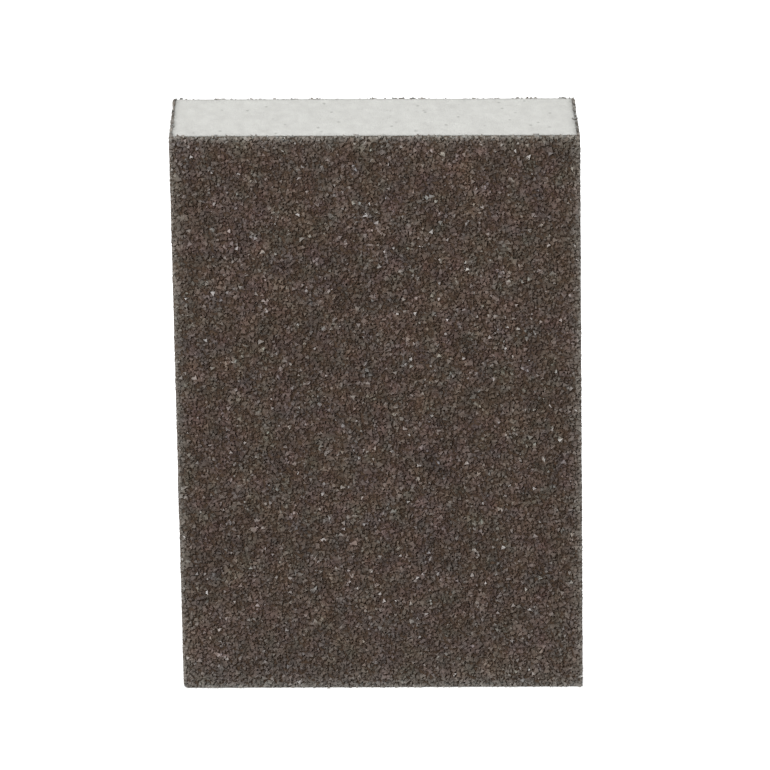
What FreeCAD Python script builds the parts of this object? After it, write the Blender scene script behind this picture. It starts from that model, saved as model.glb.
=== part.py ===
"""Sanding block: a soft foam core with abrasive coated on its four long faces.

The block stands on one cut end, with the origin at the centre of that end. X runs across the two wide
faces, Y through the block from the front face to the back, and Z up its length. Both ends are bare foam.

Each coated face is two layers, from the foam outwards: the make coat, a thin flexible resin that grips
the foam, and the grit coat, the abrasive grains locked together by more resin. The layers of the front
and back faces run the full width and lap the edges of the side layers, which lie between them.
"""

import FreeCAD, Part
import os

import Sketcher

PARTS_FOLDER = "parts"

# Driving dimensions, in millimetres.
DRIVING = (
    ("block_width", 70.0, "overall, across the wide faces, grit to grit"),
    ("block_depth", 26.0, "overall, front grit to back grit"),
    ("block_height", 100.0, "cut end to cut end"),
    ("make_thick", 0.2, "make coat on each long face"),
    ("grit_thick", 0.4, "grit coat on each long face"),
    ("edge_round", 0.3, "rounding of the long outer edges"),
)
# Sizes worked out from them by the sheet itself.
DERIVED = (
    ("inner_width", "=block_width - 2 * grit_thick", "over the side make coats"),
    ("inner_depth", "=block_depth - 2 * grit_thick", "over the front and back make coats"),
    ("core_width", "=inner_width - 2 * make_thick", "foam core"),
    ("core_depth", "=inner_depth - 2 * make_thick", "foam core"),
    ("front_make_place", "=(core_depth + make_thick) / 2", "centre of the layer from the middle"),
    ("front_grit_place", "=(inner_depth + grit_thick) / 2", "centre of the layer from the middle"),
    ("side_make_place", "=(core_width + make_thick) / 2", "centre of the layer from the middle"),
    ("side_grit_place", "=(inner_width + grit_thick) / 2", "centre of the layer from the middle"),
)

# Where each coated face looks, as a turn about Z of a layer drawn on the -Y side or on the -X side.
WIDE_FACES = (("front", 0), ("back", 180))
NARROW_FACES = (("left", 0), ("right", 180))


def make_sheet(doc):
    """The spreadsheet that holds every size, one named row each."""
    sheet = doc.addObject("Spreadsheet::Sheet", "Sizes")
    for row, (alias, value, note) in enumerate(DRIVING + DERIVED, start=1):
        sheet.set(f"A{row}", alias)
        sheet.set(f"B{row}", str(value))
        sheet.set(f"C{row}", note)
        sheet.setAlias(f"B{row}", alias)
    doc.recompute()
    return sheet


def origin_plane(body, role):
    """One of the body's own origin planes."""
    return next(f for f in body.Origin.OriginFeatures if f.Role == role)


def draw_rectangle(sketch, width, depth, middle_x, middle_y):
    """A fully constrained rectangle: sizes and the place of its middle are names in the sheet, or None for 0."""
    corners = [FreeCAD.Vector(x, y, 0) for x, y in ((-9, -9), (9, -9), (9, 9), (-9, 9))]
    sides = [Part.LineSegment(a, b) for a, b in zip(corners, corners[1:] + corners[:1])]
    bottom, right, top, left = sketch.addGeometry(sides, False)
    for side, after in ((bottom, right), (right, top), (top, left), (left, bottom)):
        sketch.addConstraint(Sketcher.Constraint("Coincident", side, 2, after, 1))
    for side in (bottom, top):
        sketch.addConstraint(Sketcher.Constraint("Horizontal", side))
    for side in (right, left):
        sketch.addConstraint(Sketcher.Constraint("Vertical", side))
    middle = sketch.addGeometry(Part.Point(FreeCAD.Vector(0, 0, 0)), True)
    sketch.addConstraint(Sketcher.Constraint("Symmetric", bottom, 1, right, 2, middle, 1))

    size_x = sketch.addConstraint(Sketcher.Constraint("DistanceX", bottom, 1, bottom, 2, 18))
    size_y = sketch.addConstraint(Sketcher.Constraint("DistanceY", right, 1, right, 2, 18))
    sketch.setExpression(f"Constraints[{size_x}]", f"Sizes.{width}")
    sketch.setExpression(f"Constraints[{size_y}]", f"Sizes.{depth}")
    origin = -1
    for kind, name in (("DistanceX", middle_x), ("DistanceY", middle_y)):
        place = sketch.addConstraint(Sketcher.Constraint(kind, middle, 1, origin, 1, 1 if name else 0))
        if name:
            sketch.setExpression(f"Constraints[{place}]", f"Sizes.{name}")


def make_layer(doc, label, width, depth, middle_x=None, middle_y=None, turn=0):
    """A body whose rectangular section, drawn on XY, is padded up the whole height of the block."""
    body = doc.addObject("PartDesign::Body", label)
    body.Label = label
    sketch = body.newObject("Sketcher::SketchObject", f"{label}_section")
    sketch.AttachmentSupport = [(origin_plane(body, "XY_Plane"), "")]
    sketch.MapMode = "FlatFace"
    draw_rectangle(sketch, width, depth, middle_x, middle_y)
    pad = body.newObject("PartDesign::Pad", f"{label}_pad")
    pad.Profile = sketch
    pad.setExpression("Length", "Sizes.block_height")
    sketch.Visibility = False
    body.Placement = FreeCAD.Placement(FreeCAD.Vector(), FreeCAD.Rotation(FreeCAD.Vector(0, 0, 1), turn))
    return body


def round_outer_edges(doc, body, sheet):
    """Rounds the two long edges of a wide face's grit coat, where the block is held and first wears."""
    doc.recompute()
    pad = body.Tip
    front = -sheet.get("block_depth") / 2
    height = sheet.get("block_height")
    outer = []
    for number, edge in enumerate(pad.Shape.Edges, start=1):
        upright = abs(edge.BoundBox.ZLength - height) < 1e-6
        on_front = abs(edge.BoundBox.YMin - front) < 1e-6
        if upright and on_front:
            outer.append(f"Edge{number}")
    fillet = body.newObject("PartDesign::Fillet", f"{body.Label}_edges")
    fillet.Base = (pad, outer)
    fillet.setExpression("Radius", "Sizes.edge_round")


def make_foam_core(doc):
    """The closed-cell foam block: four coated long faces and two bare cut ends."""
    return [make_layer(doc, "foam_core", "core_width", "core_depth")]


def make_make_coats(doc):
    """The resin next to the foam, on all four long faces."""
    coats = []
    for face, turn in WIDE_FACES:
        coats.append(
            make_layer(
                doc,
                f"{face}_make_coat",
                "inner_width",
                "make_thick",
                middle_y="front_make_place",
                turn=turn,
            )
        )
    for face, turn in NARROW_FACES:
        coats.append(
            make_layer(
                doc,
                f"{face}_make_coat",
                "make_thick",
                "core_depth",
                middle_x="side_make_place",
                turn=turn,
            )
        )
    return coats


def make_grit_coats(doc, sheet):
    """The grains and the resin round them, on all four long faces."""
    coats = []
    for face, turn in WIDE_FACES:
        coat = make_layer(
            doc,
            f"{face}_grit_coat",
            "block_width",
            "grit_thick",
            middle_y="front_grit_place",
            turn=turn,
        )
        round_outer_edges(doc, coat, sheet)
        coats.append(coat)
    for face, turn in NARROW_FACES:
        coats.append(
            make_layer(
                doc,
                f"{face}_grit_coat",
                "grit_thick",
                "inner_depth",
                middle_x="side_grit_place",
                turn=turn,
            )
        )
    return coats


def check_document(doc, pieces):
    """Stops if anything failed to build, or a piece isn't one valid solid."""
    for thing in doc.Objects:
        failed = {"Invalid", "Error"} & set(thing.State)
        if failed:
            raise RuntimeError(f"{thing.Label} is {sorted(failed)}")
    for piece in pieces:
        shape = piece.Shape
        if shape.isNull() or not shape.isValid() or len(shape.Solids) != 1:
            raise RuntimeError(f"{piece.Label} isn't one valid solid")


def main():
    doc = FreeCAD.newDocument("SandingBlock")
    sheet = make_sheet(doc)
    pieces = make_foam_core(doc) + make_make_coats(doc) + make_grit_coats(doc, sheet)
    doc.recompute()
    check_document(doc, pieces)

    os.makedirs(PARTS_FOLDER, exist_ok=True)
    for piece in pieces:
        piece.Shape.exportStep(os.path.join(PARTS_FOLDER, f"{piece.Label}.step"))
        box = piece.Shape.BoundBox
        print(
            f"{piece.Label}: {box.XLength:.2f} x {box.YLength:.2f} x {box.ZLength:.2f} mm, "
            f"middle ({box.Center.x:.2f}, {box.Center.y:.2f}), {piece.Shape.Volume:.1f} mm3"
        )


main()
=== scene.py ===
"""How the sanding block looks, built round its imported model. Lengths are in metres, in the model's frame.

The foam block is one soft piece with rough cut ends. Each of the four coated faces has a bed of resin and,
standing in it, a field of abrasive grains: every grain is a small closed crystal with flat facets.
"""

import math

import bpy
import numpy as np
from mathutils import Matrix, Vector


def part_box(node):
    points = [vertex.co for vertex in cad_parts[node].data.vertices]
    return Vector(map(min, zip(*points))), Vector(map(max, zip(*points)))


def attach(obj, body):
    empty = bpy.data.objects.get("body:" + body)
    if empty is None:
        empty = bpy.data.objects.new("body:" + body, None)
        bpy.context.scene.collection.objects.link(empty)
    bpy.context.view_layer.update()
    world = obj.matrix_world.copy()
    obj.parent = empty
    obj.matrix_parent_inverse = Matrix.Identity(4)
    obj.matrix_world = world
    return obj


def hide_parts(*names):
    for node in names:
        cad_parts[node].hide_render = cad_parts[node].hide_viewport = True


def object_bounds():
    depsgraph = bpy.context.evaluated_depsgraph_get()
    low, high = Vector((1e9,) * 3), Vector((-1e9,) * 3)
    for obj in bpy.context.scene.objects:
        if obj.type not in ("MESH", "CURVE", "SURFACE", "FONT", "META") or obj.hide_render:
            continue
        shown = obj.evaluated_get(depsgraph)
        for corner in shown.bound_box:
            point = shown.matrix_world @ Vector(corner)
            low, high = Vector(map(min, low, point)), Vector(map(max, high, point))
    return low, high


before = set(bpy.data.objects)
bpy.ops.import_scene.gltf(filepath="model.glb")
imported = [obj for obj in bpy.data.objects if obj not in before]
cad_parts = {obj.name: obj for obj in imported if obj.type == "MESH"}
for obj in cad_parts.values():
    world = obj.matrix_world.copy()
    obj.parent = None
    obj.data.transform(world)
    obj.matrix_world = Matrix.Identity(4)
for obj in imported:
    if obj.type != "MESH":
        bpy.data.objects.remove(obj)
cad_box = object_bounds()

MM = 0.001
SEED = 4107
UP = np.array((0.0, 0.0, 1.0))

# Each coated face: its name, the direction it looks in and the direction across it.
FACES = (
    ("front", (0, -1, 0), (1, 0, 0)),
    ("back", (0, 1, 0), (-1, 0, 0)),
    ("left", (-1, 0, 0), (0, -1, 0)),
    ("right", (1, 0, 0), (0, 1, 0)),
)
WIDE = ("front", "back")

# Grains.
GRAIN_PITCH = 0.48 * MM
GRAIN_SIZE = 0.44 * MM
GRAIN_SPREAD = 0.22
GRAIN_STRETCH = (0.75, 1.2)
GRAIN_DENT = 0.16
GRAIN_TILT = 0.8
GRAIN_PROUD = 0.03 * MM
GRAIN_SUNK_MM = (0.0, 0.2)
BED_THICK = 0.12 * MM
COAT_WAVE = 0.16 * MM
EDGE_WEAR = 0.5 * MM

# Grit and resin where the knife went through them.
CUT_COLOUR = (0.19, 0.191, 0.18)
# How far its top edge ranges and where its lowest point is against the foam, in millimetres.
TEAR_MM = (1.40, -0.65)
BACK_TEAR_MM = (0.80, -0.28)
# How far the bed stops below the top.
BED_DROP = 0.08 * MM
BACK_BED_DROP = 0.28 * MM

# Pale colour near the lower end: dust picked up from the table, and painted light bounced up from the
# floor.
TABLE_DUST_AND_FLOOR_LIGHT = (0.345, 0.322, 0.290)

# The block isn't quite square: as it stands it leans to its left, by this much for each unit of height.
LEAN = 0.0131
CORNER_WEAR = 1.1 * MM

# Bare foam ends.
FOAM_STEP = 0.35 * MM
KNIFE_WAVE = 0.06 * MM
CELL_DEPTH = 0.03 * MM
PITS_PER_END = 70
PIT_RADIUS_MM = (0.2, 0.45)
PIT_DEPTH_MM = (0.05, 0.2)
EDGE_DEPTH_SHARE = 0.3

# Studio. The glows are what the camera sees: the floor's near the block and far off, and the room's.
FLOOR_GLOW = (0.7, 1.1)
FLOOR_GLOW_AT = (0.25, 1.0)
ROOM_GLOW = 1.2
ROOM_LIGHT = 0.16
LIGHT_TARGET = (0, 0, 0.05)

# Camera, about the middle of the block.
CAMERA_AZIMUTH = math.radians(-0.34)
CAMERA_ELEVATION = math.radians(17.49)
CAMERA_ROLL = math.radians(-0.11)
CAMERA_DISTANCE = 0.9736
CAMERA_OFFSET = (1.12 * MM, 1.56 * MM)
CAMERA_LENS = 260.5


def reach(node, direction):
    """How far a CAD node's box reaches along a direction that is one of the axes."""
    low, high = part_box(node)
    return sum(max(a * d, b * d) for a, b, d in zip(low, high, direction))


class Face:
    """One coated face, with its own coordinates: u across it, v up it and n out of it."""

    def __init__(self, rng, name, out, across):
        self.name = name
        self.out = np.array(out, float)
        self.across = np.array(across, float)
        grit = f"{name}_grit_coat"
        make = f"{name}_make_coat"
        self.half_width = reach(grit, self.across)
        self.height = reach(grit, UP)
        self.outer = reach(grit, self.out)
        self.foam = -reach(make, -self.out)
        self.bed = self.foam + BED_THICK
        self.waves = Waves(rng, 1.6 * MM, 0.12)

    def swell(self, u, v):
        """How much the coat stands above its usual level. It drops off at a wide face's long edges."""
        level = COAT_WAVE * (self.waves.at(u, v) - 0.5)
        if self.name not in WIDE:
            return level
        past = np.clip(np.abs(u) - (self.half_width - EDGE_WEAR), 0, EDGE_WEAR)
        return level - EDGE_WEAR + np.sqrt(EDGE_WEAR**2 - 0.9 * past**2)

    def place(self, points):
        """Points in the face's coordinates, moved to the block's frame."""
        u, v, n = (points[..., i : i + 1] for i in range(3))
        return u * self.across + v * UP + n * self.out

    def map_to_square(self, points):
        """Where each point falls on the unit square when the face is unrolled on it."""
        margin = 0.01
        u = (points[..., 0] / self.half_width + 1) / 2
        v = points[..., 1] / self.height
        flat = np.stack((u, v), axis=-1)
        return np.clip(margin + (1 - 2 * margin) * flat, 0, 1)


class Waves:
    """Random heights from 0 to 1 over a plane, out to an extent, changing smoothly over a spacing."""

    def __init__(self, rng, spacing, extent):
        self.spacing = spacing
        self.extent = extent
        count = int(2 * extent / spacing) + 3
        self.knots = rng.random((count, count))

    def at(self, x, y=0.0):
        x, y = np.broadcast_arrays(x, y)
        i, right = np.divmod((x + self.extent) / self.spacing, 1)
        j, up = np.divmod((y + self.extent) / self.spacing, 1)
        i, j = i.astype(int), j.astype(int)
        lower = self.knots[j, i] * (1 - right) + self.knots[j, i + 1] * right
        upper = self.knots[j + 1, i] * (1 - right) + self.knots[j + 1, i + 1] * right
        return lower * (1 - up) + upper * up


def wear_corner(points):
    """Rounds the lower left edge of the block, which has been knocked."""
    low, _ = cad_box
    worn = points.copy()
    x = low[0] + CORNER_WEAR - points[:, 0]
    z = low[2] + CORNER_WEAR - points[:, 2]
    away = np.hypot(x, z)
    outside = (x > 0) & (z > 0) & (away > CORNER_WEAR)
    pull = CORNER_WEAR / away[outside]
    worn[outside, 0] = low[0] + CORNER_WEAR - x[outside] * pull
    worn[outside, 2] = low[2] + CORNER_WEAR - z[outside] * pull
    return worn


def lean(points):
    """Shears the square block's points about the middle of its height, into the block as it stands."""
    low, high = cad_box
    leant = points.copy()
    leant[:, 0] -= LEAN * (points[:, 2] - (low[2] + high[2]) / 2)
    return leant


def add_piece(name, points, faces, square, material):
    """Makes a mesh piece. square is each point's place on the unit square for its maps."""
    points = lean(wear_corner(points))
    mesh = bpy.data.meshes.new(name)
    mesh.from_pydata(points, [], faces)
    corners = np.empty(len(mesh.loops), int)
    mesh.loops.foreach_get("vertex_index", corners)
    layer = mesh.uv_layers.new(name="OFBake")
    layer.data.foreach_set("uv", square[corners].ravel())
    mesh.materials.append(material)
    piece = bpy.data.objects.new(name, mesh)
    bpy.context.scene.collection.objects.link(piece)
    return piece


# ---------------------------------------------------------------------------------------------------------
# Materials


class Nodes:
    """Builds a node material in a few short calls."""

    def __init__(self, name):
        self.material = bpy.data.materials.new(name)
        self.material.use_nodes = True
        self.tree = self.material.node_tree
        self.shader = self.tree.nodes["Principled BSDF"]
        self.place = self.new("ShaderNodeTexCoord").outputs["Object"]
        self.pattern_place = self.place

    def new(self, kind):
        return self.tree.nodes.new(kind)

    def link(self, value, socket):
        """Puts a number or a colour on a socket, or joins another node's output to it."""
        if isinstance(value, bpy.types.NodeSocket):
            self.tree.links.new(value, socket)
        else:
            socket.default_value = value

    def draw_out(self, times):
        """Draws out every noise and spot made after this from front to back, that many times."""
        node = self.new("ShaderNodeMapping")
        node.inputs["Scale"].default_value = (1, 1 / times, 1)
        self.link(self.place, node.inputs["Vector"])
        self.pattern_place = node.outputs["Vector"]

    def math(self, operation, *values):
        node = self.new("ShaderNodeMath")
        node.operation = operation
        for value, socket in zip(values, node.inputs):
            self.link(value, socket)
        return node.outputs[0]

    def parts(self, vector):
        """A vector's x, y and z."""
        node = self.new("ShaderNodeSeparateXYZ")
        self.link(vector, node.inputs["Vector"])
        return tuple(node.outputs)

    def noise(self, size, detail=2.0, offset=0.0):
        """Noise whose lumps are about that size, from 0 to 1."""
        node = self.new("ShaderNodeTexNoise")
        node.noise_dimensions = "4D"
        node.inputs["W"].default_value = offset
        node.inputs["Scale"].default_value = 1 / size
        node.inputs["Detail"].default_value = detail
        self.link(self.pattern_place, node.inputs["Vector"])
        return node.outputs["Fac"]

    def ramp(self, value, *stops):
        """A colour for each stop: (position, colour)."""
        node = self.new("ShaderNodeValToRGB")
        elements = node.color_ramp.elements
        while len(elements) < len(stops):
            elements.new(0.5)
        for element, (position, colour) in zip(elements, stops):
            element.position = position
            element.color = (*colour, 1)
        self.link(value, node.inputs["Fac"])
        return node.outputs["Color"]

    def span(self, value, low, high, to_low=0.0, to_high=1.0):
        """Maps low..high to to_low..to_high smoothly, and holds it outside."""
        node = self.new("ShaderNodeMapRange")
        node.interpolation_type = "SMOOTHSTEP"
        node.inputs["From Min"].default_value = low
        node.inputs["From Max"].default_value = high
        node.inputs["To Min"].default_value = to_low
        node.inputs["To Max"].default_value = to_high
        self.link(value, node.inputs["Value"])
        return node.outputs["Result"]

    def mix(self, factor, first, second, how="MIX"):
        node = self.new("ShaderNodeMix")
        node.data_type = "RGBA"
        node.blend_type = how
        self.link(factor, node.inputs["Factor"])
        for value, name in ((first, "A"), (second, "B")):
            socket = next(s for s in node.inputs if s.name == name and s.type == "RGBA")
            self.link((*value, 1) if isinstance(value, tuple) else value, socket)
        return next(s for s in node.outputs if s.type == "RGBA")

    def patches(self, size, offset, first, second):
        """A tint that drifts between two colours in patches of about that size."""
        return self.ramp(self.noise(size, 2, offset), (0.32, first), (0.68, second))

    def spots(self, spacing, core, rim):
        """Round spots at about that spacing: 1 inside core and 0 outside rim, as shares of the spacing."""
        node = self.new("ShaderNodeTexVoronoi")
        node.inputs["Scale"].default_value = 1 / spacing
        self.link(self.pattern_place, node.inputs["Vector"])
        return self.span(node.outputs["Distance"], core, rim, 1.0, 0.0)

    def bump(self, height, distance, strength=1.0):
        node = self.new("ShaderNodeBump")
        node.inputs["Strength"].default_value = strength
        node.inputs["Distance"].default_value = distance
        self.link(height, node.inputs["Height"])
        self.link(node.outputs["Normal"], self.shader.inputs["Normal"])

    def random_per_grain(self):
        return self.new("ShaderNodeNewGeometry").outputs["Random Per Island"]

    def edge_distance(self):
        """How far a point on the block's surface is from the nearest edge of the face that it is on.

        Of its depths under the three pairs of faces, the least is under its own face, so it is the middle
        one.
        """
        low, high = cad_box
        x, y, z = (
            self.math("SUBTRACT", part, (low[axis] + high[axis]) / 2)
            for axis, part in enumerate(self.parts(self.place))
        )
        x = self.math("ADD", x, self.math("MULTIPLY", z, LEAN))
        a, b, c = (
            self.math("SUBTRACT", (high[axis] - low[axis]) / 2, self.math("ABSOLUTE", value))
            for axis, value in enumerate((x, y, z))
        )
        lesser = self.math("MINIMUM", a, b)
        greater = self.math("MAXIMUM", a, b)
        return self.math("MAXIMUM", lesser, self.math("MINIMUM", greater, c))

    def cut_end(self):
        """1 where the surface faces up or down within a millimetre or so of a cut end, and 0 elsewhere."""
        normal = self.new("ShaderNodeNewGeometry").outputs["True Normal"]
        upright = self.span(self.math("ABSOLUTE", self.parts(normal)[2]), 0.7, 0.95)
        z = self.parts(self.place)[2]
        low, high = cad_box[0][2], cad_box[1][2]
        from_middle = self.math("ABSOLUTE", self.math("SUBTRACT", z, (low + high) / 2))
        end = (high - low) / 2
        near_end = self.span(from_middle, end - 1.2 * MM, end - 0.8 * MM)
        return self.math("MULTIPLY", upright, near_end)

    def foot_dust_and_floor_light(self, height, least, most):
        """Dust picked up from the table and painted light bounced up from the floor: most at the lower end,
        fading over that height, in patches.
        """
        z = self.parts(self.place)[2]
        falloff = self.math("EXPONENT", self.math("DIVIDE", z, -height))
        patchy = self.span(self.noise(1.0 * MM, 2, 9.0), 0.3, 0.7, least, most)
        return self.math("MULTIPLY", falloff, patchy)

    def edge_band(self, width, least, most, start=0.0):
        """A patchy band near the edges: most at the start, that far from an edge, and fading over the
        width.
        """
        inside = self.math("MAXIMUM", self.math("SUBTRACT", self.edge_distance(), start), 0.0)
        falloff = self.math("EXPONENT", self.math("DIVIDE", inside, -width))
        patchy = self.span(self.noise(0.8 * MM, 2, 7.0), 0.3, 0.7, least, most)
        return self.math("MULTIPLY", falloff, patchy)


def grit_material():
    """Brown abrasive: a tone for each grain, with painted sparkle on the palest few, in warm and grey
    patches, with pale dust and painted glare at the edges, and painted floor light towards the lower end.
    """
    m = Nodes("grit")
    grain = m.random_per_grain()
    shade = m.ramp(
        grain,
        (0.00, (0.086, 0.056, 0.041)),
        (0.50, (0.114, 0.080, 0.062)),
        (0.93, (0.145, 0.110, 0.090)),
        # The last two stops make the few palest grains: painted sparkle.
        (0.985, (0.225, 0.188, 0.164)),
        (1.00, (0.400, 0.365, 0.335)),
    )
    tints = (
        m.patches(3.0 * MM, 0.0, (0.89, 1.00, 1.03), (1.11, 1.00, 0.97)),
        m.patches(3.5 * MM, 4.0, (1.0, 0.965, 1.07), (1.0, 1.035, 0.93)),
        m.patches(2.2 * MM, 8.0, (0.77, 0.77, 0.77), (1.25, 1.25, 1.25)),
        m.patches(9.0 * MM, 12.0, (0.90, 0.90, 0.90), (1.10, 1.10, 1.10)),
    )
    colour = shade
    for tint in tints:
        colour = m.mix(1.0, colour, tint, "MULTIPLY")
    # Paler and greyer within a millimetre or so of the face edges: dust, and painted glare along the edges.
    colour = m.mix(m.edge_band(0.9 * MM, 0.35, 0.9), colour, (0.340, 0.320, 0.280))
    # Paler at the very foot: table dust, and painted light bounced up from the floor.
    colour = m.mix(m.foot_dust_and_floor_light(0.9 * MM, 0.35, 0.75), colour, TABLE_DUST_AND_FLOOR_LIGHT)
    # Paler over the lower centimetre or so: painted light bounced up from the floor.
    colour = m.mix(m.foot_dust_and_floor_light(12.0 * MM, 0.08, 0.18), colour, TABLE_DUST_AND_FLOOR_LIGHT)
    # A pale line right at the edges: dust, and painted glare along the edges.
    colour = m.mix(m.edge_band(0.15 * MM, 0.7, 1.4), colour, (0.370, 0.350, 0.315))
    colour = m.mix(m.cut_end(), colour, CUT_COLOUR)
    m.link(colour, m.shader.inputs["Base Color"])
    gloss = m.math("FRACT", m.math("MULTIPLY", grain, 91.7))
    m.link(m.span(gloss, 0.0, 1.0, 0.32, 0.6), m.shader.inputs["Roughness"])
    m.shader.inputs["Specular IOR Level"].default_value = 0.5
    m.bump(m.noise(0.20 * MM, 2, 11.0), 0.03 * MM, 0.2)
    return m.material


def resin_material():
    """The dark resin that the grains stand in, rougher and glossier in patches."""
    m = Nodes("resin")
    colour = m.ramp(m.noise(0.5 * MM, 3), (0.3, (0.078, 0.048, 0.030)), (0.7, (0.120, 0.080, 0.055)))
    # Paler near the face edges: dust, and painted glare along the edges.
    colour = m.mix(m.edge_band(0.4 * MM, 0.5, 1.0), colour, (0.290, 0.275, 0.240))
    colour = m.mix(m.cut_end(), colour, CUT_COLOUR)
    m.link(colour, m.shader.inputs["Base Color"])
    m.link(m.span(m.noise(0.9 * MM, 2, 2.0), 0.3, 0.7, 0.6, 0.85), m.shader.inputs["Roughness"])
    m.shader.inputs["Specular IOR Level"].default_value = 0.2
    m.bump(m.noise(0.15 * MM, 3, 9.0), 0.05 * MM, 0.8)
    return m.material


def foam_material():
    """Pale closed-cell foam: fine cut cells with painted shade in their hollows, a few grey specks, and
    greyer towards its edges.
    """
    m = Nodes("foam")
    m.draw_out(1.7)
    colour = m.ramp(m.noise(1.6 * MM, 3), (0.3, (0.570, 0.565, 0.538)), (0.65, (0.645, 0.643, 0.612)))
    hollow = m.spots(0.22 * MM, 0.0, 0.55)
    # The cell hollows are painted darker: painted shade.
    colour = m.mix(m.math("MULTIPLY", hollow, 0.5), colour, (0.42, 0.42, 0.40))
    colour = m.mix(m.math("MULTIPLY", m.spots(2.4 * MM, 0.03, 0.17), 0.5), colour, (0.20, 0.20, 0.18))
    # Greyer just inside its edges, next to the coats.
    colour = m.mix(m.edge_band(0.38 * MM, 0.4, 1.2, 0.6 * MM), colour, (0.30, 0.30, 0.28))
    m.link(colour, m.shader.inputs["Base Color"])
    m.shader.inputs["Roughness"].default_value = 0.9
    m.shader.inputs["Specular IOR Level"].default_value = 0.25
    m.bump(m.math("SUBTRACT", 1.0, hollow), 0.05 * MM, 0.7)
    return m.material


# ---------------------------------------------------------------------------------------------------------
# Grains


def facing_out(points, triangles):
    """The triangles of a closed convex shape, each wound so that it faces out."""
    middle = points.mean(axis=0)
    turned = []
    for a, b, c in triangles:
        normal = np.cross(points[b] - points[a], points[c] - points[a])
        outward = np.dot(normal, points[a] - middle) > 0
        turned.append((a, b, c) if outward else (a, c, b))
    return np.array(turned)


def make_shapes():
    """The kinds of crystal, about 2 across, as (share of the grains, points, triangles)."""
    splinter = [(0.9, -0.5, -0.5), (-0.9, -0.5, -0.5), (0.0, 0.95, -0.5), (0.15, 0.0, 0.8)]
    splinter_sides = [(0, 1, 2), (0, 1, 3), (1, 2, 3), (2, 0, 3)]
    pyramid = [(-0.8, -0.7, -0.5), (0.8, -0.7, -0.5), (0.7, 0.8, -0.5), (-0.7, 0.8, -0.5)]
    pyramid += [(0.25, -0.15, 0.75)]
    pyramid_sides = [(0, 1, 2), (0, 2, 3), (0, 1, 4), (1, 2, 4), (2, 3, 4), (3, 0, 4)]
    stump = [(-0.9, -0.6, -0.5), (0.9, -0.6, -0.5), (0.0, 1.0, -0.5)]
    stump += [(-0.5, -0.4, 0.6), (0.55, -0.3, 0.5), (0.05, 0.5, 0.65)]
    stump_sides = [(0, 1, 2), (3, 4, 5), (0, 1, 4), (0, 4, 3)]
    stump_sides += [(1, 2, 5), (1, 5, 4), (2, 0, 3), (2, 3, 5)]
    lozenge = [(0.9, 0.0, 0.0), (0.0, 0.8, 0.05), (-0.85, 0.1, -0.05), (0.1, -0.85, 0.0)]
    lozenge += [(0.1, 0.1, 0.75), (0.0, 0.0, -0.75)]
    lozenge_sides = [(0, 1, 4), (1, 2, 4), (2, 3, 4), (3, 0, 4)]
    lozenge_sides += [(0, 1, 5), (1, 2, 5), (2, 3, 5), (3, 0, 5)]
    shapes = []
    for share, points, triangles in (
        (0.45, splinter, splinter_sides),
        (0.25, pyramid, pyramid_sides),
        (0.20, stump, stump_sides),
        (0.10, lozenge, lozenge_sides),
    ):
        points = np.array(points)
        shapes.append((share, points, facing_out(points, triangles)))
    return shapes


SHAPES = make_shapes()


def random_turns(rng, count, tilt):
    """Turning matrices: any spin about n, then a tip of about that many radians in any direction."""
    spin = rng.uniform(0, 2 * math.pi, count)
    tip = rng.normal(0, tilt, count)
    heading = rng.uniform(0, 2 * math.pi, count)
    zero = np.zeros(count)
    one = np.ones(count)
    s, c = np.sin(spin), np.cos(spin)
    spins = np.array([[c, -s, zero], [s, c, zero], [zero, zero, one]])
    x, y = np.cos(heading), np.sin(heading)
    cross = np.array([[zero, zero, y], [zero, zero, -x], [-y, x, zero]])
    spins, cross = spins.transpose(2, 0, 1), cross.transpose(2, 0, 1)
    tip_sin, tip_cos = np.sin(tip)[:, None, None], np.cos(tip)[:, None, None]
    tips = np.eye(3) + tip_sin * cross + (1 - tip_cos) * (cross @ cross)
    return tips @ spins


def scatter(rng, face):
    """Where the grains are: staggered rows, each grain moved at random within its own patch."""
    columns = round(2 * face.half_width / GRAIN_PITCH)
    rows = round(face.height / GRAIN_PITCH)
    v, u = np.mgrid[0:rows, 0:columns].astype(float)
    u += 0.5 * (v % 2) + 0.25 + rng.uniform(-0.5, 0.5, u.shape)
    v += 0.5 + rng.uniform(-0.5, 0.5, v.shape)
    u = -face.half_width + u * 2 * face.half_width / columns
    v = v * face.height / rows
    return np.clip(u.ravel(), -face.half_width, face.half_width), v.ravel()


def cut_height(rng, face, u):
    """The height at which the coat ends at the top, where the knife tore it unevenly."""
    torn = 0.6 * Waves(rng, 0.6 * MM, 0.05).at(u) + 0.4 * Waves(rng, 2.5 * MM, 0.05).at(u)
    spread, lowest = BACK_TEAR_MM if face.name == "back" else TEAR_MM
    return face.height + (spread * torn + lowest) * MM


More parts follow.
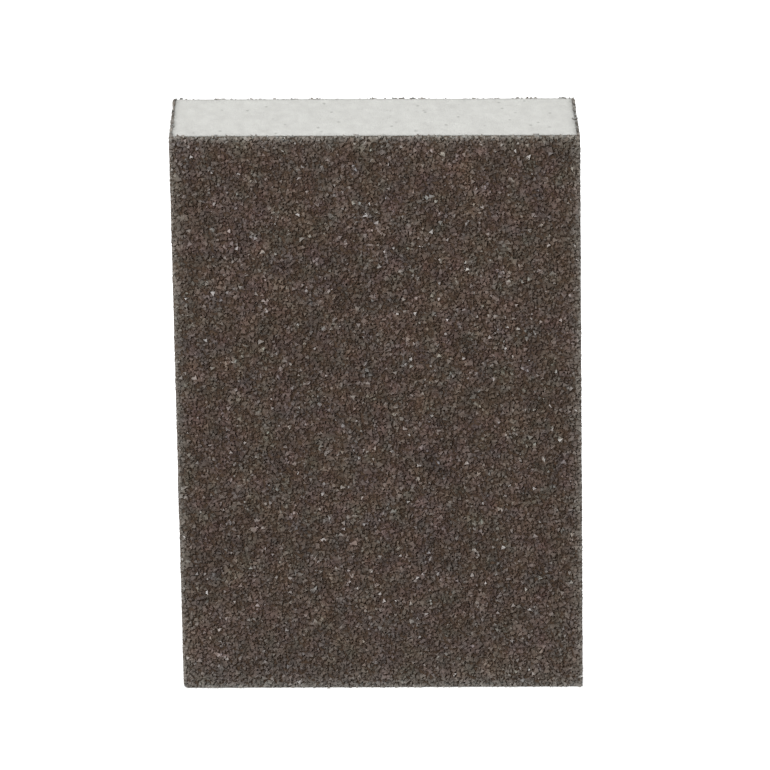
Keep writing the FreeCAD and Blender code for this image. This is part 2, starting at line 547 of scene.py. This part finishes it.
def make_grains(rng, face, material):
    """A field of grains that stand in the resin, torn unevenly at the top and level at the lower end."""
    u, v = scatter(rng, face)
    count = len(u)
    top = cut_height(rng, face, u)
    kinds = rng.choice(len(SHAPES), count, p=[share for share, _, _ in SHAPES])
    points_so_far = 0
    all_points = []
    all_triangles = []
    for kind, (_, shape, sides) in enumerate(SHAPES):
        mine = np.flatnonzero(kinds == kind)
        size = GRAIN_SIZE * np.exp(rng.normal(0, GRAIN_SPREAD, (len(mine), 1, 1)))
        stretch = rng.uniform(*GRAIN_STRETCH, (len(mine), 1, 3))
        dents = rng.uniform(-GRAIN_DENT, GRAIN_DENT, (len(mine), *shape.shape))
        points = (shape + dents) * size * stretch
        points = np.einsum("gij,gpj->gpi", random_turns(rng, len(mine), GRAIN_TILT), points)
        low, high = points.min(axis=1), points.max(axis=1)
        sunk = rng.uniform(*GRAIN_SUNK_MM, len(mine)) * MM
        n = np.minimum(face.bed - sunk - low[:, 2], face.outer + GRAIN_PROUD - high[:, 2])
        n += face.swell(u[mine], v[mine])
        height = np.minimum(v[mine], top[mine] - high[:, 1])
        height = np.maximum(height, -low[:, 1] + rng.uniform(0, 0.05, len(mine)) * MM)
        across = np.clip(u[mine], -face.half_width - low[:, 0], face.half_width - high[:, 0])
        points += np.stack((across, height, n), axis=1)[:, None, :]
        starts = points_so_far + len(shape) * np.arange(len(mine))
        all_triangles.append((starts[:, None, None] + sides).reshape(-1, 3))
        all_points.append(points.reshape(-1, 3))
        points_so_far += len(shape) * len(mine)
    points = np.concatenate(all_points)
    triangles = np.concatenate(all_triangles)
    square = face.map_to_square(points)
    grains = add_piece(f"{face.name}_grains", face.place(points), triangles, square, material)
    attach(grains, "root")
    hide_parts(f"{face.name}_grit_coat")


# ---------------------------------------------------------------------------------------------------------
# Resin beds and the foam block


def grid_lines(low, high, step):
    return np.linspace(low, high, round((high - low) / step) + 1)


def closed_block(lower, upper, rings=0):
    """Points and faces of the closed block between two grids of points, with rings between them."""
    rows, columns = lower.shape[:2]
    index = np.arange(rows * columns).reshape(rows, columns)
    quads = np.stack((index[:-1, :-1], index[:-1, 1:], index[1:, 1:], index[1:, :-1]), axis=-1)
    quads = quads.reshape(-1, 4)
    border = np.concatenate((index[0, :-1], index[:-1, -1], index[-1, :0:-1], index[:0:-1, 0]))
    lower = lower.reshape(-1, 3)
    upper = upper.reshape(-1, 3)
    points = [lower, upper]
    loops = [border]
    for ring in range(1, rings + 1):
        share = ring / (rings + 1)
        points.append(lower[border] * (1 - share) + upper[border] * share)
        loops.append(2 * rows * columns + (ring - 1) * len(border) + np.arange(len(border)))
    loops.append(border + rows * columns)
    faces = [quads[:, ::-1], quads + rows * columns]
    for below, above in zip(loops[:-1], loops[1:]):
        faces.append(np.stack((below, np.roll(below, -1), np.roll(above, -1), above), axis=-1))
    return np.concatenate(points), np.concatenate(faces)


def smooth_but_for_corners(piece):
    piece.data.shade_smooth()
    piece.data.set_sharp_from_angle(angle=math.radians(40))


def make_bed(face, material):
    """The resin under and between the grains, wavy on its outside."""
    step = 0.7 * MM
    inset = 0.05 * MM
    top = face.height - (BACK_BED_DROP if face.name == "back" else BED_DROP)
    across = grid_lines(-face.half_width + inset, face.half_width - inset, step)
    up = grid_lines(inset, top, step)
    u, v = np.meshgrid(across, up)
    inner = np.stack((u, v, np.full_like(u, face.foam)), axis=-1)
    outer = np.stack((u, v, face.bed + face.swell(u, v)), axis=-1)
    points, faces = closed_block(inner, outer)
    bed = add_piece(f"{face.name}_resin", face.place(points), faces, face.map_to_square(points), material)
    smooth_but_for_corners(bed)
    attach(bed, "root")
    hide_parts(f"{face.name}_make_coat")


def foam_end(rng, height, outward):
    """A grid over a cut end, with the knife's slight waves, open cells and a few torn pits."""
    low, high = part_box("foam_core")
    across = grid_lines(low[0], high[0], FOAM_STEP)
    along = grid_lines(low[1], high[1], FOAM_STEP)
    x, y = np.meshgrid(across, along)
    depth = KNIFE_WAVE * Waves(rng, 4 * MM, 0.05).at(x, y)
    depth += rng.uniform(0, CELL_DEPTH, x.shape)
    for _ in range(PITS_PER_END):
        px, py = rng.uniform(low[:2], high[:2])
        radius = rng.uniform(*PIT_RADIUS_MM) * MM
        away = np.hypot(x - px, y - py) / radius
        depth += rng.uniform(*PIT_DEPTH_MM) * MM * np.exp(-(away**2))
    depth[0, :] *= EDGE_DEPTH_SHARE
    depth[-1, :] *= EDGE_DEPTH_SHARE
    return np.stack((x, y, height - outward * depth), axis=-1)


def foam_square(points):
    """Lays out the foam block's maps: top end, bottom end, and the four hidden sides below them."""
    low, high = (np.array(corner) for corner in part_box("foam_core"))
    share = (points - low) / (high - low)
    x, y, z = share.T
    on_top = z > 0.99
    on_bottom = z < 0.01
    u = np.where(on_top | on_bottom, x, 0.5 * (x + y))
    v = np.where(on_top, 0.67 + 0.31 * y, np.where(on_bottom, 0.34 + 0.31 * y, 0.02 + 0.3 * z))
    return np.stack((0.01 + 0.98 * u, v), axis=-1)


def make_foam(rng, material):
    low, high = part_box("foam_core")
    bottom = foam_end(rng, low[2], -1)
    top = foam_end(rng, high[2], 1)
    points, faces = closed_block(bottom, top, rings=9)
    foam = add_piece("foam_block", points, faces, foam_square(points), material)
    smooth_but_for_corners(foam)
    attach(foam, "root")
    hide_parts("foam_core")


# ---------------------------------------------------------------------------------------------------------
# Studio


def make_floor():
    """A white table that runs out of sight. It looks brightly lit, and it lights the block dimly."""
    half = 4.0
    corners = [(-half, -half, 0), (half, -half, 0), (half, half, 0), (-half, half, 0)]
    mesh = bpy.data.meshes.new("floor")
    mesh.from_pydata(corners, [], [(0, 1, 2, 3)])
    m = Nodes("white_table")
    colour = m.ramp(m.noise(0.3), (0.4, (0.70, 0.70, 0.70)), (0.6, (0.72, 0.72, 0.72)))
    m.link(colour, m.shader.inputs["Base Color"])
    m.shader.inputs["Roughness"].default_value = 0.9
    glow = m.new("ShaderNodeEmission")
    from_block = m.new("ShaderNodeVectorMath")
    from_block.operation = "LENGTH"
    m.link(m.place, from_block.inputs[0])
    strength = m.span(from_block.outputs["Value"], *FLOOR_GLOW_AT, *FLOOR_GLOW)
    m.link(strength, glow.inputs["Strength"])
    seen = m.new("ShaderNodeAddShader")
    m.link(m.shader.outputs[0], seen.inputs[0])
    m.link(glow.outputs[0], seen.inputs[1])
    choose = m.new("ShaderNodeMixShader")
    m.link(m.new("ShaderNodeLightPath").outputs["Is Camera Ray"], choose.inputs[0])
    m.link(m.shader.outputs[0], choose.inputs[1])
    m.link(seen.outputs[0], choose.inputs[2])
    m.link(choose.outputs[0], m.tree.nodes["Material Output"].inputs["Surface"])
    mesh.materials.append(m.material)
    floor = bpy.data.objects.new("floor", mesh)
    bpy.context.scene.collection.objects.link(floor)


def make_world():
    """A white room that lights the block dimly and shows plain white behind it."""
    world = bpy.data.worlds.new("studio")
    world.use_nodes = True
    tree = world.node_tree
    output = tree.nodes["World Output"]
    dim = tree.nodes["Background"]
    dim.inputs["Color"].default_value = (0.95, 0.98, 1.0, 1)
    dim.inputs["Strength"].default_value = ROOM_LIGHT
    white = tree.nodes.new("ShaderNodeBackground")
    white.inputs["Color"].default_value = (1, 1, 1, 1)
    white.inputs["Strength"].default_value = ROOM_GLOW
    path = tree.nodes.new("ShaderNodeLightPath")
    mix = tree.nodes.new("ShaderNodeMixShader")
    tree.links.new(path.outputs["Is Camera Ray"], mix.inputs[0])
    tree.links.new(dim.outputs[0], mix.inputs[1])
    tree.links.new(white.outputs[0], mix.inputs[2])
    tree.links.new(mix.outputs[0], output.inputs["Surface"])
    bpy.context.scene.world = world


def aim(thing, place, target):
    thing.location = place
    thing.rotation_euler = (Vector(target) - Vector(place)).to_track_quat("-Z", "Y").to_euler()


def add_softbox(name, place, size, power):
    light = bpy.data.lights.new(name, "AREA")
    light.shape = "SQUARE"
    light.size = size
    light.energy = power
    softbox = bpy.data.objects.new(name, light)
    bpy.context.scene.collection.objects.link(softbox)
    aim(softbox, place, LIGHT_TARGET)


def make_lights():
    add_softbox("key", (-0.60, -0.80, 0.75), 0.30, 9.3)
    add_softbox("fill", (0.80, -0.75, 0.35), 0.40, 1.8)
    add_softbox("overhead", (0.0, 0.1, 1.0), 0.60, 4.5)
    add_softbox("back_fill", (0.2, 0.9, 0.6), 0.60, 2.5)


def make_camera():
    """Looks slightly down at the front face, from about a metre away."""
    low, high = cad_box
    middle = (Vector(low) + Vector(high)) / 2
    a, e, r = CAMERA_AZIMUTH, CAMERA_ELEVATION, CAMERA_ROLL
    back = Vector((math.sin(a) * math.cos(e), -math.cos(a) * math.cos(e), math.sin(e)))
    level_right = Vector((math.cos(a), math.sin(a), 0))
    level_up = back.cross(level_right)
    right = math.cos(r) * level_right + math.sin(r) * level_up
    up = math.cos(r) * level_up - math.sin(r) * level_right
    place = middle + CAMERA_DISTANCE * back + CAMERA_OFFSET[0] * right + CAMERA_OFFSET[1] * up
    data = bpy.data.cameras.new("camera")
    data.sensor_width = 36
    data.lens = CAMERA_LENS
    data.clip_start = 0.01
    camera = bpy.data.objects.new("camera", data)
    bpy.context.scene.collection.objects.link(camera)
    turn = Matrix((right, up, back)).transposed().to_4x4()
    camera.matrix_world = Matrix.Translation(place) @ turn
    bpy.context.scene.camera = camera


def main():
    make_camera()
    make_world()
    make_lights()
    make_floor()
    bpy.context.scene.view_settings.view_transform = "Standard"

    grit = grit_material()
    resin = resin_material()
    rng = np.random.default_rng(SEED)
    make_foam(rng, foam_material())
    for name, out, across in FACES:
        face = Face(rng, name, out, across)
        make_bed(face, resin)
        make_grains(rng, face, grit)


main()
